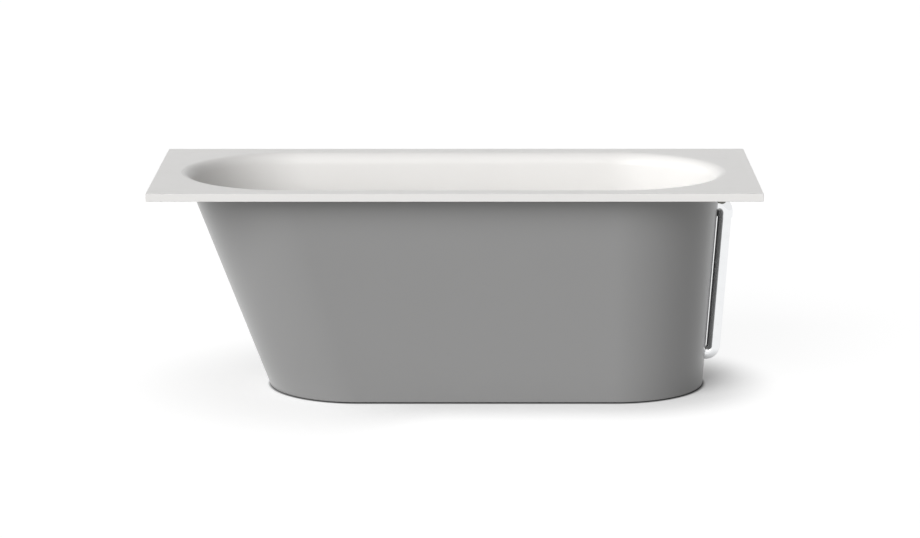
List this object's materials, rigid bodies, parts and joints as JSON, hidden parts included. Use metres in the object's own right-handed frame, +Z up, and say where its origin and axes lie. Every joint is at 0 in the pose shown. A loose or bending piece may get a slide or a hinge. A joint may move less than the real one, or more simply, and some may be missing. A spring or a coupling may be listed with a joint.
{
  "type": "bathtub",
  "caption": "Built-in bath with a thin rectangular rim, a leaning round-ended shell, a sloping back rest, and a chrome overflow pipe outside the waste end.",
  "frame": {"origin": "on the floor, under the middle of the rim", "axes": "+X along the bath to the waste and overflow end, -Y the long front side, +Z up"},
  "size_m": [1.7, 0.75, 0.62],
  "materials": {
    "bath_white": "satin",
    "shell_grey": "satin",
    "chrome": "polished",
    "zinc_steel": "satin",
    "spring_steel": "satin",
    "black_rubber": "matte",
    "trap_white": "satin",
    "pad_black": "matte",
    "board_wood": "matte"
  },
  "bodies": {
    "root": {"basin": "bath_white", "outer_shell": "shell_grey", "base_board": "board_wood", "rail_screws": "zinc_steel", "foot_nuts_upper": "zinc_steel", "foot_nuts_lower": "zinc_steel", "shell_brackets": "zinc_steel", "bracket_bolts": "zinc_steel", "bracket_nuts": "zinc_steel", "waste_flange": "chrome", "waste_seal_top": "black_rubber", "waste_seal_bottom": "black_rubber", "plug_cartridge": "trap_white", "plug_spring": "spring_steel", "trap_body": "trap_white", "trap_baffle": "trap_white", "trap_cap": "trap_white", "trap_cap_seal": "black_rubber", "pipe_nut": "trap_white", "pipe_washer": "black_rubber", "outlet_nut": "trap_white", "outlet_washer": "black_rubber", "overflow_elbow": "chrome", "overflow_pipe": "chrome", "overflow_seal": "black_rubber", "overflow_plate": "chrome", "overflow_screw": "chrome", "cross_rail_left": "zinc_steel", "cross_rail_right": "zinc_steel"},
    "plug": {"plug_cap": "chrome", "plug_seal": "black_rubber", "plug_stem": "spring_steel"},
    "outlet": {"outlet_elbow": "trap_white"},
    "foot_front_left": {"foot_stud_front_left": "zinc_steel", "foot_pad_front_left": "pad_black"},
    "foot_front_right": {"foot_stud_front_right": "zinc_steel", "foot_pad_front_right": "pad_black"},
    "foot_back_left": {"foot_stud_back_left": "zinc_steel", "foot_pad_back_left": "pad_black"},
    "foot_back_right": {"foot_stud_back_right": "zinc_steel", "foot_pad_back_right": "pad_black"}
  },
  "joints": [
    {"name": "plug_press", "type": "slide", "parent": "root", "child": "plug", "axis": [0, 0, 1], "range_m": [-0.009, 0], "stiffness_N_per_m": 500, "springref_m": 0.008, "deforming": ["plug_spring"]},
    {"name": "outlet_swivel", "type": "hinge", "parent": "root", "child": "outlet", "pos_m": [0.395, 0, 0.082], "axis": [1, 0, 0], "range_deg": [-90, 90]},
    {"name": "foot_level_front_left", "type": "slide", "parent": "root", "child": "foot_front_left", "axis": [0, 0, -1], "range_m": [-0.003, 0.02]},
    {"name": "foot_level_front_right", "type": "slide", "parent": "root", "child": "foot_front_right", "axis": [0, 0, -1], "range_m": [-0.003, 0.02]},
    {"name": "foot_level_back_left", "type": "slide", "parent": "root", "child": "foot_back_left", "axis": [0, 0, -1], "range_m": [-0.003, 0.02]},
    {"name": "foot_level_back_right", "type": "slide", "parent": "root", "child": "foot_back_right", "axis": [0, 0, -1], "range_m": [-0.003, 0.02]}
  ]
}
